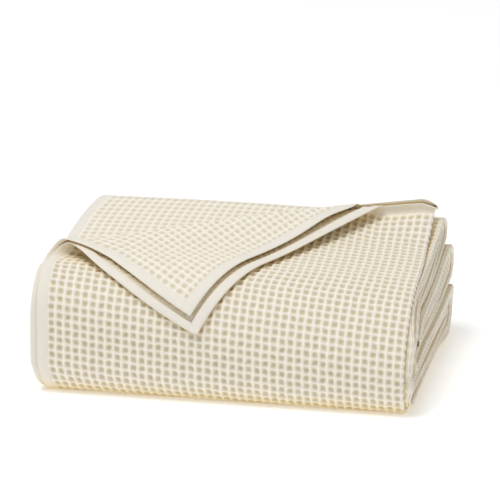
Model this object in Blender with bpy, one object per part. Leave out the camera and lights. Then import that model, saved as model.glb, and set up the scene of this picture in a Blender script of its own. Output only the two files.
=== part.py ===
"""A waffle weave cotton blanket, folded into a bundle, with one corner turned back.

The blanket is one piece of cloth.  It is folded lengthways into a strip of six sheets, and
the strip lies back and forth in seven layers.  Two sheets more, the outer panel, leave the
strip at the back, pass under the bundle, up its rounded front and over its top.  There their
corner is turned back along a slanting fold and hangs forward over the front as two sheets.

Metres, +Z up.  X runs along the bundle, the front looks to -Y, and the origin is on the
floor under the middle.
"""
import math

import bmesh
import bpy
import numpy as np

# ---- driving sizes -------------------------------------------------------------------
FRONT_Y = -0.146         # the foremost line of the front
PANEL_LEFT = -0.208      # left hem of the outer panel's upper sheet
FOOT_LEFT = -0.199       # the same where it goes under the bundle
PANEL_RIGHT = 0.207      # right edge of the outer panel
HEM_LIP = 0.0080         # the under sheet's hem shows this far beyond the upper sheet's
SHEET = 0.0031           # one sheet of waffle cloth
AIR = 0.0008             # between the outer panel and the strip inside it
GAP = 0.0009             # between two layers of the strip
PANEL = 2 * SHEET
INNER = PANEL + AIR      # depth of the strip's outer face below the outer panel's face

# The outer face of the bundle at three places along it: radii of the rounding at the foot
# of the front and at its brow, height of the top just behind the brow and at the back.
OUTLINE = (
    {"x": -0.205, "foot_y": 0.022, "foot_z": 0.042, "brow_y": 0.042, "brow_z": 0.050,
     "crest_z": 0.142, "back_z": 0.150},
    {"x": 0.000, "foot_y": 0.022, "foot_z": 0.040, "brow_y": 0.084, "brow_z": 0.074,
     "crest_z": 0.137, "back_z": 0.153},
    {"x": 0.205, "foot_y": 0.022, "foot_z": 0.038, "brow_y": 0.110, "brow_z": 0.090,
     "crest_z": 0.129, "back_z": 0.150},
)
MIN_RADIUS = 0.0015
TOP_END_Y = 0.145

# The folds that show as lobes down the back, and how far each reaches at both ends.
LOBES = {
    "bottom": {"base_y": 0.114, "left": 0.028, "right": 0.035},
    "middle": {"base_y": 0.120, "left": 0.021, "right": 0.025},
    "top": {"base_y": 0.112, "left": 0.022, "right": 0.026},
}
INNER_TURN = 0.0020      # reach of the air inside a tight fold

# The strip's two hidden ends in front keep this far from its inner turn, left and right.
NOSE = {"left": 0.022, "right": 0.034, "reach": 0.012}
INNER_END = {"left": 0.012, "right": 0.040}

# Where each layer of the strip ends at the left and at the right, bottom layer first.
LAYER_ENDS = (
    {"left": -0.199, "right": 0.214},
    {"left": -0.197, "right": 0.213},
    {"left": -0.199, "right": 0.216},
    {"left": -0.197, "right": 0.214},
    {"left": -0.199, "right": 0.216},
    {"left": -0.198, "right": 0.209},
    {"left": -0.203, "right": 0.208},
)

# The turned-back corner.  Its fold line starts on the left hem and slants to the back right.
FOLD_SLANT = math.radians(29.0)
FOLD_LEFT_X = -0.194     # where the fold meets the left hem, which has drawn in to here
FOLD_LEFT_S = -0.055     # the same, measured along the cloth
REFERENCE_Y = -0.026     # the line on the top from which that is measured
FOLD_RIGHT_X = 0.198
FOLD_BOW = 0.026         # both ends of the fold are drawn forward by about this much
SWING = -0.189           # the corner is pulled along the fold by this share of its length
SWING_FURTHER = 1.49     # and less so further out
FLAP_END = 0.145         # the end hem of the panel, measured along the cloth
PAST_BEND = 0.003        # and it lies at least this far past the fold's bend
UNDER_SHEET_SHORT = 0.014
UNDER_SHEET_DRAWN_IN = 0.024
ROLL = (
    {"x": -0.205, "radius": 0.0040, "lift": 0.0020},
    {"x": 0.000, "radius": 0.0060, "lift": 0.0030},
    {"x": 0.205, "radius": 0.0040, "lift": 0.0020},
)
LOOP = {"reach": 0.045, "radius": 0.0032, "lift": 0.0012}   # the fold stands open at the hem
LIFT_REACH = 0.030       # how far from the fold the panel starts to rise to it
FALL_REACH = 0.034       # how far from the fold the corner has come down again
REST = 0.0024            # the turned-back corner lies this far above the panel
SHEETS_APART = 0.0012
HOLLOW = {"x": 0.110, "spread": 0.070, "height": 0.0085}    # under the turned-back corner
HUMP = {"x": 0.098, "spread": 0.045, "height": 0.0190}      # between its two sheets

# ---- how finely the cloth is divided ---------------------------------------------------
EDGE_STEPS = (0.0, 0.0035, 0.0085)      # columns close to an end, where layers are rounded
STRIP_ROUNDING = (0.0045, 0.0011, 0.0)  # how far each face of the strip has gone in there
PANEL_ROUNDING = (0.0011, 0.0003, 0.0)
INNER_COLUMNS = 12
TOP_ROWS = 19            # of the outer panel from the face to the fold
TURN_STEPS = 8

CROTCH_OUT = 0.0008      # the crotch between panel and strip bulges out at its two ends

COTTON = (0.905, 0.865, 0.760, 1.0)


def along(table, x, column):
    """Value of a column at x, on a smooth curve through the table's three rows."""
    a, b, c = (row["x"] for row in table)
    va, vb, vc = (row[column] for row in table)
    x = min(max(x, a - 0.03), c + 0.03)
    return (va * (x - b) * (x - c) / ((a - b) * (a - c))
            + vb * (x - a) * (x - c) / ((b - a) * (b - c))
            + vc * (x - a) * (x - b) / ((c - a) * (c - b)))


def smooth(t):
    t = min(max(t, 0.0), 1.0)
    return t * t * (3.0 - 2.0 * t)


def lerp(a, b, t):
    return a + (b - a) * t


# ---- the bundle's outline, seen from its end ---------------------------------------------

def corners(x, inset):
    """Centres and radii of the foot and the brow for a face this far inside the outer one."""
    crest = along(OUTLINE, x, "crest_z")
    foot_cy = FRONT_Y + max(along(OUTLINE, x, "foot_y"), inset + MIN_RADIUS)
    foot_cz = max(along(OUTLINE, x, "foot_z"), inset + MIN_RADIUS)
    brow_cy = FRONT_Y + max(along(OUTLINE, x, "brow_y"), inset + MIN_RADIUS)
    brow_cz = max(crest - along(OUTLINE, x, "brow_z"), foot_cz + MIN_RADIUS)
    return foot_cy, foot_cz, brow_cy, brow_cz, crest


def top_height(x, y, inset):
    """Height of the top face behind the brow: it rises a little towards the back."""
    _, _, brow_cy, _, crest = corners(x, 0.0)
    share = (y - brow_cy) / (LOBES["top"]["base_y"] - brow_cy)
    rise = min(max(share, 0.0), 1.0) ** 2
    return lerp(crest, along(OUTLINE, x, "back_z"), rise) - inset


def ceiling(x, y, inset):
    """Height of a face's upper side at y, brow included."""
    _, _, brow_cy, brow_cz, crest = corners(x, inset)
    if y >= brow_cy:
        return top_height(x, y, inset)
    reach = brow_cy - (FRONT_Y + inset)
    share = min((brow_cy - y) / reach, 1.0)
    return brow_cz + (crest - inset - brow_cz) * math.sqrt(1.0 - share * share)


def wrap_point(x, leg, share, inset):
    """A point on the face that runs under the bundle, up its front and over its top."""
    foot_cy, foot_cz, brow_cy, brow_cz, crest = corners(x, inset)
    front = FRONT_Y + inset
    turn = share * math.pi / 2
    if leg == "floor":
        return lerp(LOBES["bottom"]["base_y"], foot_cy, share), inset
    if leg == "foot":
        return (foot_cy - (foot_cy - front) * math.sin(turn),
                foot_cz - (foot_cz - inset) * math.cos(turn))
    if leg == "face":
        return front, lerp(foot_cz, brow_cz, share)
    if leg == "brow":
        return (brow_cy - (brow_cy - front) * math.cos(turn),
                brow_cz + (crest - inset - brow_cz) * math.sin(turn))
    y = lerp(brow_cy, LOBES["top"]["base_y"], share)
    return y, top_height(x, y, inset)


# ---- the strip of six sheets: seven layers, back and forth ---------------------------------

def strip_thickness(x):
    stack = along(OUTLINE, x, "crest_z") - 2 * INNER - 6 * GAP
    return stack / 7.0


def depth_of(x, face):
    """Depth of a face of the strip below the outer face: two turns, each with two faces."""
    thickness = strip_thickness(x)
    return {"outer turn, outside": INNER,
            "outer turn, inside": INNER + thickness,
            "inner turn, outside": INNER + thickness + GAP,
            "inner turn, inside": INNER + 2 * thickness + GAP}[face]


def core_level(x, y, layer, upper):
    """Height of one face of the three middle layers, which share what the turns leave."""
    inset = depth_of(x, "inner turn, inside") + GAP
    low = inset
    pitch = (ceiling(x, y, inset) - low) / 3.0
    level = low + pitch * (layer - 3)
    return level + pitch - GAP if upper else level


def lobe_reach(name, x):
    lobe = LOBES[name]
    return lerp(lobe["left"], lobe["right"], (x - PANEL_LEFT) / (PANEL_RIGHT - PANEL_LEFT))


def turned(base_y, reach, low, high, share, forward=False):
    """A point on a fold from its lower to its upper end, bulging to the back or the front."""
    angle = math.pi * (share - 0.5)
    away = -math.cos(angle) if forward else math.cos(angle)
    return base_y + reach * away, (low + high) / 2 + (high - low) / 2 * math.sin(angle)


def strip_stations():
    """The strip from its hidden back end to its hidden front end.

    Each station gives two faces as functions of x, and the layer it belongs to.
    """
    stations = []

    def wrap(layer, leg, share, near, far):
        stations.append((layer,
                         lambda x: wrap_point(x, leg, share, depth_of(x, near)),
                         lambda x: wrap_point(x, leg, share, depth_of(x, far))))

    def core(layer, y_of, upper_first):
        stations.append((layer,
                         lambda x: (y_of(x), core_level(x, y_of(x), int(layer), upper_first)),
                         lambda x: (y_of(x), core_level(x, y_of(x), int(layer), not upper_first))))

    inner_turn = ("inner turn, outside", "inner turn, inside")
    outer_turn = ("outer turn, inside", "outer turn, outside")

    for share in (-0.012, 0.33, 0.66):
        wrap(2.0, "floor", share, *inner_turn)
    for step in range(5):
        wrap(2.0 + step * 0.3, "foot", step / 4.0, *inner_turn)
    wrap(3.5, "face", 0.5, *inner_turn)
    for step in range(8):
        wrap(4.0 + step * 0.25, "brow", step / 7.0, *inner_turn)
    for share in (0.25, 0.5, 0.75, 1.0):
        wrap(6.0, "top", share, *inner_turn)

    top_y = LOBES["top"]["base_y"]
    for step in range(1, TURN_STEPS):
        share = step / TURN_STEPS
        stations.append((
            6.0 + share,
            lambda x, share=share: turned(
                top_y, INNER_TURN, top_height(x, top_y, depth_of(x, "inner turn, outside")),
                top_height(x, top_y, depth_of(x, "outer turn, inside")), share),
            lambda x, share=share: turned(
                top_y, lobe_reach("top", x), top_height(x, top_y, depth_of(x, "inner turn, inside")),
                top_height(x, top_y, INNER), share)))

    for share in (1.0, 0.75, 0.5, 0.25):
        wrap(7.0, "top", share, *outer_turn)
    for step in range(9, -1, -1):
        wrap(4.0 + step * 0.33, "brow", step / 9.0, *outer_turn)
    wrap(3.0, "face", 0.5, *outer_turn)
    for step in range(5, -1, -1):
        wrap(1.0 + step * 0.4, "foot", step / 5.0, *outer_turn)
    for share in (0.66, 0.33):
        wrap(1.0, "floor", share, *outer_turn)

    # here the outer panel leaves the strip, so this station reaches down to the floor
    fork = len(stations)
    stations.append((1.0,
                     lambda x: wrap_point(x, "floor", 0.0, depth_of(x, "outer turn, inside")),
                     lambda x: wrap_point(x, "floor", 0.0, 0.0)))
    bottom_y = LOBES["bottom"]["base_y"]
    for step in range(1, TURN_STEPS + 1):
        share = step / (TURN_STEPS + 1)
        stations.append((
            1.0 + 2 * share,
            lambda x, share=share: turned(
                bottom_y, lobe_reach("bottom", x) - strip_thickness(x),
                depth_of(x, "outer turn, inside"), core_level(x, bottom_y, 3, False), share),
            lambda x, share=share: turned(
                bottom_y, lobe_reach("bottom", x), 0.0, core_level(x, bottom_y, 3, True), share)))

    def front_limit(clear):
        return lambda x: (FRONT_Y + depth_of(x, "inner turn, inside") + GAP
                          + lerp(clear["left"], clear["right"], smooth((x + 0.2) / 0.4)))

    nose_y = front_limit(NOSE)
    end_y = front_limit(INNER_END)

    def between(start, stop, share):
        return lambda x: lerp(start if isinstance(start, float) else start(x),
                              stop if isinstance(stop, float) else stop(x), share)

    for share in (0.0, 0.25, 0.5, 0.75, 1.0):
        core(3.0, between(bottom_y, nose_y, share), False)
    for step in range(1, TURN_STEPS):
        share = step / TURN_STEPS
        stations.append((
            3.0 + share,
            lambda x, share=share: turned(
                nose_y(x), NOSE["reach"], core_level(x, nose_y(x), 3, False),
                core_level(x, nose_y(x), 4, True), share, True),
            lambda x, share=share: turned(
                nose_y(x), INNER_TURN, core_level(x, nose_y(x), 3, True),
                core_level(x, nose_y(x), 4, False), share, True)))
    middle_y = LOBES["middle"]["base_y"]
    for share in (1.0, 0.75, 0.5, 0.25, 0.0):
        core(4.0, between(middle_y, nose_y, share), True)
    for step in range(1, TURN_STEPS):
        share = step / TURN_STEPS
        stations.append((
            4.0 + share,
            lambda x, share=share: turned(
                middle_y, INNER_TURN, core_level(x, middle_y, 4, True),
                core_level(x, middle_y, 5, False), share),
            lambda x, share=share: turned(
                middle_y, lobe_reach("middle", x), core_level(x, middle_y, 4, False),
                core_level(x, middle_y, 5, True), share)))
    for share in (0.0, 0.25, 0.5, 0.75, 1.0):
        core(5.0, between(middle_y, end_y, share), False)
    return stations, fork


def strip_ends(layer):
    """Left and right end of the strip at a layer number that may lie between two layers."""
    low = min(int(layer), 6) - 1
    share = layer - 1 - low
    left = lerp(LAYER_ENDS[low]["left"], LAYER_ENDS[low + 1]["left"], share)
    right = lerp(LAYER_ENDS[low]["right"], LAYER_ENDS[low + 1]["right"], share)
    return left, right


def columns(left, right, rounding, nominal_left=None):
    """Places across a sheet, closer at its two ends, and how far its faces go in there.

    The places between are spread from the nominal left hem, so that two sheets whose hems
    differ have them at the same places.
    """
    start = (left if nominal_left is None else nominal_left) + EDGE_STEPS[-1]
    stop = right - EDGE_STEPS[-1]
    inner = [lerp(start, stop, i / (INNER_COLUMNS + 1)) for i in range(1, INNER_COLUMNS + 1)]
    places = [left + d for d in EDGE_STEPS] + inner + [right - d for d in reversed(EDGE_STEPS)]
    return places, list(rounding) + [0.0] * INNER_COLUMNS + list(reversed(rounding))


def strip_rows(station, far_rounding):
    layer, near, far = station
    places, rounded = columns(*strip_ends(layer), STRIP_ROUNDING)
    _, far_rounded = columns(*strip_ends(layer), far_rounding)
    near_row = []
    far_row = []
    for x, near_in, far_in in zip(places, rounded, far_rounded):
        near_point = np.array((x, *near(x)))
        far_point = np.array((x, *far(x)))
        inward = (far_point - near_point) / np.linalg.norm(far_point - near_point)
        near_row.append(near_point + inward * near_in)
        far_row.append(far_point - inward * far_in)
    return near_row, far_row


# ---- the outer panel and its turned-back corner -----------------------------------------

WRAP_LEGS = (("floor", 12), ("foot", 14), ("face", 6), ("brow", 24), ("top", 16))


def wrap_path(x):
    """The outer face's section at x, with its length measured from the reference line."""
    points = []
    for leg, steps in WRAP_LEGS:
        points += [wrap_point(x, leg, i / steps, 0.0) for i in range(steps)]
    for i in range(5):
        y = lerp(LOBES["top"]["base_y"], TOP_END_Y + 0.02, i / 4)
        points.append((y, top_height(x, y, 0.0)))
    path = np.array(points)
    length = np.concatenate(([0.0], np.cumsum(np.hypot(*np.diff(path, axis=0).T))))
    on_top = path[:, 1] > 0.1
    reference = np.interp(REFERENCE_Y, path[on_top, 0], length[on_top])
    return path, length - reference


def drawn_forward(x, s):
    """The top of the panel is drawn forward at both ends of the fold."""
    start = lerp(-0.120, 0.020, smooth((x + 0.2) / 0.4))
    return FOLD_BOW * ((x + 0.02) / 0.2) ** 2 * smooth((s - start) / 0.1)


def on_bundle(x, s, height):
    """The point s along the outer face at x, raised by height along the face's normal."""
    path, length = wrap_path(x)
    s -= drawn_forward(x, s)
    step = 0.003
    here = [np.interp(s, length, path[:, k]) for k in (0, 1)]
    ahead = [np.interp(s + step, length, path[:, k]) for k in (0, 1)]
    behind = [np.interp(s - step, length, path[:, k]) for k in (0, 1)]
    dy = ahead[0] - behind[0]
    dz = ahead[1] - behind[1]
    size = math.hypot(dy, dz)
    return np.array((x, here[0] - dz / size * height, here[1] + dy / size * height))


def fold_x(along_fold):
    return lerp(-0.205, 0.205, along_fold / 0.45)


def hill(shape, x):
    return shape["height"] * math.exp(-((x - shape["x"]) / shape["spread"]) ** 2)


def roll(along_fold):
    """Radius of the fold and its lift, both larger in the open loop at the left hem."""
    x = fold_x(along_fold)
    loop = math.exp(-(max(along_fold, 0.0) / LOOP["reach"]) ** 2)
    return (along(ROLL, x, "radius") + LOOP["radius"] * loop,
            along(ROLL, x, "lift") + LOOP["lift"] * loop)


def fold_section(along_fold, across):
    """The bent cloth's face in a cut square to the fold line.

    across is the flat distance past the fold line.  The result is the place across the
    line, the height above the bundle and the direction of the face's normal.
    """
    radius, lift = roll(along_fold)
    if across <= 0.0:
        return across, lift * math.exp(-(across / LIFT_REACH) ** 2), (0.0, 1.0)
    if across < math.pi * radius:
        angle = across / radius
        return (radius * math.sin(angle), lift + radius * (1 - math.cos(angle)),
                (-math.sin(angle), math.cos(angle)))
    back = across - math.pi * radius
    rest = REST + hill(HOLLOW, fold_x(along_fold)) * smooth(back / 0.06)
    height = (lift * math.exp(-(back / LIFT_REACH) ** 2) + rest
              + (2 * radius - REST) * math.exp(-(back / FALL_REACH) ** 2))
    return -back, height, (0.0, -1.0)


def sheets_parted(u, along_fold, across):
    """Air between the two sheets, none before the fold."""
    bend = math.pi * roll(along_fold)[0]
    return smooth(across / bend) * (SHEETS_APART + hill(HUMP, u) * smooth((across - bend) / 0.05))


def cloth_point(u, v, depth, parted):
    """Flat cloth (u, v), the fold applied, at this depth below the panel's outer face."""
    sine = math.sin(FOLD_SLANT)
    cosine = math.cos(FOLD_SLANT)
    along_fold = (u - FOLD_LEFT_X) * cosine + (v - FOLD_LEFT_S) * sine
    across = -(u - FOLD_LEFT_X) * sine + (v - FOLD_LEFT_S) * cosine
    place, height, normal = fold_section(along_fold, across)
    if parted:
        depth += sheets_parted(u, along_fold, across)
    if across > 0.0:
        reached = max(-place, 0.0)
        along_fold += (SWING + SWING_FURTHER * reached) * reached
    place -= normal[0] * depth
    height -= normal[1] * depth
    x = FOLD_LEFT_X + along_fold * cosine - place * sine
    s = FOLD_LEFT_S + along_fold * sine + place * cosine
    return on_bundle(x, s, height)


def fold_v(u, extra=0.0):
    """Flat length at which the cloth at u meets a line this far past the fold line."""
    return FOLD_LEFT_S + ((u - FOLD_LEFT_X) * math.sin(FOLD_SLANT) + extra) / math.cos(FOLD_SLANT)


def bend_length(u):
    return math.pi * roll((u - FOLD_LEFT_X) / math.cos(FOLD_SLANT))[0]


def end_v(u, under_sheet):
    short = UNDER_SHEET_SHORT if under_sheet else 0.0
    return max(FLAP_END - short, fold_v(u, bend_length(u) + PAST_BEND))


def rounded_depth(depth, middle, rounding):
    """A face's depth, brought closer to the middle of its sheet by this much."""
    return depth + math.copysign(min(rounding, abs(middle - depth)), middle - depth)


def panel_row(ends, depth, lip=0.0, right_lip=0.0):
    """One row of the panel's face between two hems, the left one reaching out by lip."""
    length_at, left, right = ends
    places, rounded = columns(left - lip, right + right_lip, PANEL_ROUNDING, left)
    row = []
    for u, rounding in zip(places, rounded):
        at = rounded_depth(depth, PANEL / 2, rounding)
        row.append(cloth_point(u, length_at(u), at, False))
    return row


def landmark(x, leg):
    """Length along the outer face at which a leg of the wrap starts."""
    path, length = wrap_path(x)
    steps = 0
    for name, count in WRAP_LEGS:
        if name == leg:
            return length[steps]
        steps += count
    return length[steps]


def panel_rows():
    """The outer panel from the fork to the fold: length as a function of u, and both hems."""
    def between(start_leg, stop_leg, share):
        return lambda u: lerp(landmark(u, start_leg), landmark(u, stop_leg), share)

    def to_fold(share):
        return lambda u: lerp(landmark(u, "brow"), fold_v(u), share)

    rows = [(between("floor", "foot", share), FOOT_LEFT, PANEL_RIGHT) for share in (0.33, 0.66)]
    for step in range(8):
        left = lerp(FOOT_LEFT, PANEL_LEFT, smooth(step / 7))
        rows.append((between("foot", "face", step / 7), left, PANEL_RIGHT))
    for step in range(TOP_ROWS + 1):
        drawn = smooth(step / TOP_ROWS) ** 2
        rows.append((to_fold(step / TOP_ROWS), lerp(PANEL_LEFT, FOLD_LEFT_X, drawn ** 2),
                     lerp(PANEL_RIGHT, FOLD_RIGHT_X, drawn)))
    return rows


def flap_row(share, depth, under_sheet, lip):
    """One row of a turned-back sheet: share 0 to 1 is the bend, 1 to 2 runs to the hem."""
    drawn = UNDER_SHEET_DRAWN_IN * smooth((share - 0.8) / 0.55) if under_sheet else 0.0
    places, rounded = columns(FOLD_LEFT_X - lip + drawn, FOLD_RIGHT_X, PANEL_ROUNDING, FOLD_LEFT_X)
    middle = SHEET / 2 + (SHEET if under_sheet else 0.0)
    row = []
    for u, rounding in zip(places, rounded):
        bend = bend_length(u)
        if share <= 1.0:
            v = fold_v(u, bend * share)
        else:
            v = lerp(fold_v(u, bend), end_v(u, under_sheet), share - 1.0)
        row.append(cloth_point(u, v, rounded_depth(depth, middle, rounding), under_sheet))
    return row


FLAP_SHARES = tuple(i / 6 for i in range(1, 7)) + tuple(1 + (i / 15) ** 1.2 for i in range(1, 16))


# ---- one closed mesh ------------------------------------------------------------------------

def add_row(bm, row):
    return [bm.verts.new(point) for point in row]


def join_rows(bm, first, second):
    for i in range(len(first) - 1):
        bm.faces.new((first[i], first[i + 1], second[i + 1], second[i]))


def join_ends(bm, before, after):
    """Close the left and the right end between two stations, each a list of rows.

    A station where the cloth parts has three rows; its middle one is fanned to the two
    rows of the other station.
    """
    for i in (0, -1):
        first = [row[i] for row in before]
        second = [row[i] for row in after]
        if len(first) == len(second):
            bm.faces.new(first + second[::-1])
            continue
        if len(second) == 3:
            first, second = second, first
        bm.faces.new((first[0], first[1], second[0]))
        bm.faces.new((first[1], second[1], second[0]))
        bm.faces.new((first[1], first[2], second[1]))


def add_strip(bm):
    stations, fork = strip_stations()
    near = []
    far = []
    for i, station in enumerate(stations):
        near_row, far_row = strip_rows(station, PANEL_ROUNDING if i == fork else STRIP_ROUNDING)
        near.append(add_row(bm, near_row))
        far.append(add_row(bm, far_row))
    places, _ = columns(*strip_ends(1.0), STRIP_ROUNDING)
    crotch_points = [np.array((x, *wrap_point(x, "floor", 0.0, PANEL + AIR / 2))) for x in places]
    crotch_points[0][0] -= CROTCH_OUT
    crotch_points[-1][0] += CROTCH_OUT
    crotch = add_row(bm, crotch_points)
    for i in range(len(stations) - 1):
        join_rows(bm, near[i], near[i + 1])
        join_rows(bm, far[i], crotch if i + 1 == fork else far[i + 1])
        before = [near[i], far[i]]
        after = [near[i + 1], far[i + 1]]
        if i + 1 == fork:
            after = [near[fork], crotch]
        if i == fork:
            before = [near[fork], crotch, far[fork]]
        join_ends(bm, before, after)
    for i in (0, -1):
        join_rows(bm, near[i], far[i])
    return crotch, far[fork]


def add_panel(bm, crotch, floor_row):
    """The outer panel from the fork to its fold, then its two sheets to their hems."""
    inside = [crotch]
    outside = [floor_row]
    for ends in panel_rows():
        inside.append(add_row(bm, panel_row(ends, PANEL, HEM_LIP)))
        outside.append(add_row(bm, panel_row(ends, 0.0)))
    parting = add_row(bm, panel_row(panel_rows()[-1], SHEET, 0.8 * HEM_LIP, CROTCH_OUT))
    last = len(inside) - 1
    for i in range(last):
        join_rows(bm, inside[i], inside[i + 1])
        join_rows(bm, outside[i], outside[i + 1])
        after = [inside[i + 1], outside[i + 1]]
        if i + 1 == last:
            after = [inside[last], parting, outside[last]]
        join_ends(bm, [inside[i], outside[i]], after)
    add_sheet(bm, (parting, outside[last]), (SHEET, 0.0), False)
    add_sheet(bm, (inside[last], parting), (PANEL, SHEET), True)


def add_sheet(bm, start_rows, depths, under_sheet):
    lip = HEM_LIP if under_sheet else 0.0
    rows = [start_rows]
    for share in FLAP_SHARES:
        rows.append(tuple(add_row(bm, flap_row(share, depth, under_sheet, lip)) for depth in depths))
    for before, after in zip(rows, rows[1:]):
        join_rows(bm, before[0], after[0])
        join_rows(bm, before[1], after[1])
        join_ends(bm, before, after)
    join_rows(bm, *rows[-1])


def cotton():
    material = bpy.data.materials.new("cream cotton")
    material.use_nodes = True
    shader = material.node_tree.nodes["Principled BSDF"]
    shader.inputs["Base Color"].default_value = COTTON
    shader.inputs["Roughness"].default_value = 0.9
    shader.inputs["Metallic"].default_value = 0.0
    return material


def build_blanket():
    bm = bmesh.new()
    crotch, floor_row = add_strip(bm)
    add_panel(bm, crotch, floor_row)
    bmesh.ops.triangulate(bm, faces=bm.faces[:])
    bmesh.ops.recalc_face_normals(bm, faces=bm.faces[:])
    if bm.calc_volume(signed=True) < 0.0:
        bmesh.ops.reverse_faces(bm, faces=bm.faces[:])
    mesh = bpy.data.meshes.new("blanket")
    bm.to_mesh(mesh)
    bm.free()
    mesh.shade_smooth()
    mesh.set_sharp_from_angle(angle=math.radians(50))
    mesh.materials.append(cotton())
    blanket = bpy.data.objects.new("blanket", mesh)
    bpy.context.scene.collection.objects.link(blanket)
    return blanket


for leftover in list(bpy.data.objects):
    bpy.data.objects.remove(leftover, do_unlink=True)
build_blanket()
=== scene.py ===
"""A folded waffle weave cotton blanket with one corner turned back, dressed and lit.

The blanket is one cloth.  Six sheets of it, folded lengthways, lie back and forth as a strip;
two sheets more wrap the bundle, and their corner is turned back over the rounded front.
Metres, +Z up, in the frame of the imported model.
"""
import math

import bmesh
import bpy
import numpy as np
from mathutils import Matrix, Vector


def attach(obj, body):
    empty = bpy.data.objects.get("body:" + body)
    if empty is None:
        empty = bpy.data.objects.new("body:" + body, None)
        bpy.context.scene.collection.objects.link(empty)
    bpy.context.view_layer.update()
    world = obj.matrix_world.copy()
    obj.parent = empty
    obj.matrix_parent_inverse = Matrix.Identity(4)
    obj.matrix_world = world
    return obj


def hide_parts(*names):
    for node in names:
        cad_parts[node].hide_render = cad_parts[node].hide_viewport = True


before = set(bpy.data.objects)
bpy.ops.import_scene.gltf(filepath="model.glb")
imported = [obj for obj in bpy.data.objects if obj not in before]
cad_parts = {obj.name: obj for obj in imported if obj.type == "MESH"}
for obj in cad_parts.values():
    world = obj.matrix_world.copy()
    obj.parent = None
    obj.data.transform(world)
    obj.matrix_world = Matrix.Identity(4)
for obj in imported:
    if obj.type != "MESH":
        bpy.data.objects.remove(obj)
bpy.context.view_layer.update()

# ==== The folded strip =======================================================================
# The body of the bundle: six sheets lying together, back and forth in seven layers, with soft
# lobes where they turn at the back.  The six sheets are three pairs, each folded at the right
# end and hemmed at the left, so the ends show rounded folds and the edges of plain hems.

LEFT_END = -0.208        # the bundle's left end, at the hem
LENGTH = 0.415           # and how far it is from there to the right end
FRONT_Y = -0.146         # the foremost line of the front
SHEET = 0.0031           # one sheet of waffle cloth
GAP = 0.0005             # between two layers of the strip
PANEL = 2 * SHEET        # the two outer sheets
CLEAR = 0.0008           # air between them and the strip
INNER = PANEL + CLEAR    # depth of the strip's outer face below the bundle's face
MIN_RADIUS = 0.0015      # the foot and the brow never round more tightly than this
INNER_TURN = 0.0020      # the inside of a soft lobe turns as tightly as this
LAYERS = 7               # layers of the strip, one over the other
CORE_LAYERS = 3          # those of them that lie inside the strip's inner turn
FIRST_CORE = 3           # and the lowest of these
TABLE_MARGIN = 0.03      # a table is followed this far past its first and last row
# the face at three places along the bundle: the depth and height of its foot's and its brow's
# rounding, and the height of the top in front and at the back
OUTLINE = (
    {"x": -0.205, "foot_y": 0.022, "foot_z": 0.042, "brow_y": 0.042, "brow_z": 0.050,
     "crest_z": 0.142, "back_z": 0.150},
    {"x": 0.000, "foot_y": 0.022, "foot_z": 0.040, "brow_y": 0.084, "brow_z": 0.074,
     "crest_z": 0.137, "back_z": 0.153},
    {"x": 0.205, "foot_y": 0.022, "foot_z": 0.038, "brow_y": 0.110, "brow_z": 0.090,
     "crest_z": 0.129, "back_z": 0.150},
)
# the soft turns at the back: where each begins, and how far it stands out at either end
LOBES = {
    "bottom": {"base_y": 0.114, "left": 0.028, "right": 0.035},
    "middle": {"base_y": 0.120, "left": 0.021, "right": 0.025},
    "top": {"base_y": 0.112, "left": 0.022, "right": 0.026},
}
# where the strip's layers end at the left and at the right, from the lowest up
LAYER_LEFT = (-0.199, -0.197, -0.199, -0.197, -0.199, -0.198, -0.204)
LAYER_RIGHT = (0.214, 0.213, 0.218, 0.214, 0.216, 0.209, 0.208)


def smooth(t):
    """From 0 to 1 as t does, level at both ends."""
    t = np.clip(t, 0.0, 1.0)
    return t * t * (3.0 - 2.0 * t)


def lerp(a, b, t):
    return a + (b - a) * t


def along(table, x, column):
    """Value of a column at x, on a smooth curve through the table's three rows."""
    a, b, c = (row["x"] for row in table)
    va, vb, vc = (row[column] for row in table)
    x = np.clip(x, a - TABLE_MARGIN, c + TABLE_MARGIN)
    return (va * (x - b) * (x - c) / ((a - b) * (a - c))
            + vb * (x - a) * (x - c) / ((b - a) * (b - c))
            + vc * (x - a) * (x - b) / ((c - a) * (c - b)))


def corners(x, inset):
    """Centres of the foot's and the brow's rounding for a face this far inside the outer one."""
    crest = along(OUTLINE, x, "crest_z")
    foot_cy = FRONT_Y + max(along(OUTLINE, x, "foot_y"), inset + MIN_RADIUS)
    foot_cz = max(along(OUTLINE, x, "foot_z"), inset + MIN_RADIUS)
    brow_cy = FRONT_Y + max(along(OUTLINE, x, "brow_y"), inset + MIN_RADIUS)
    brow_cz = max(crest - along(OUTLINE, x, "brow_z"), foot_cz + MIN_RADIUS)
    return foot_cy, foot_cz, brow_cy, brow_cz, crest


def top_height(x, y, inset):
    """Height of the top at this depth, which rises a little towards the back."""
    _, _, brow_cy, _, crest = corners(x, 0.0)
    share = (y - brow_cy) / (LOBES["top"]["base_y"] - brow_cy)
    return lerp(crest, along(OUTLINE, x, "back_z"), min(max(share, 0.0), 1.0) ** 2) - inset


def ceiling(x, y, inset):
    """Height of the top or of the brow's rounding over a place, at this depth."""
    _, _, brow_cy, brow_cz, crest = corners(x, inset)
    if y >= brow_cy:
        return top_height(x, y, inset)
    share = min((brow_cy - y) / (brow_cy - FRONT_Y - inset), 1.0)
    return brow_cz + (crest - inset - brow_cz) * math.sqrt(1.0 - share * share)


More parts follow.
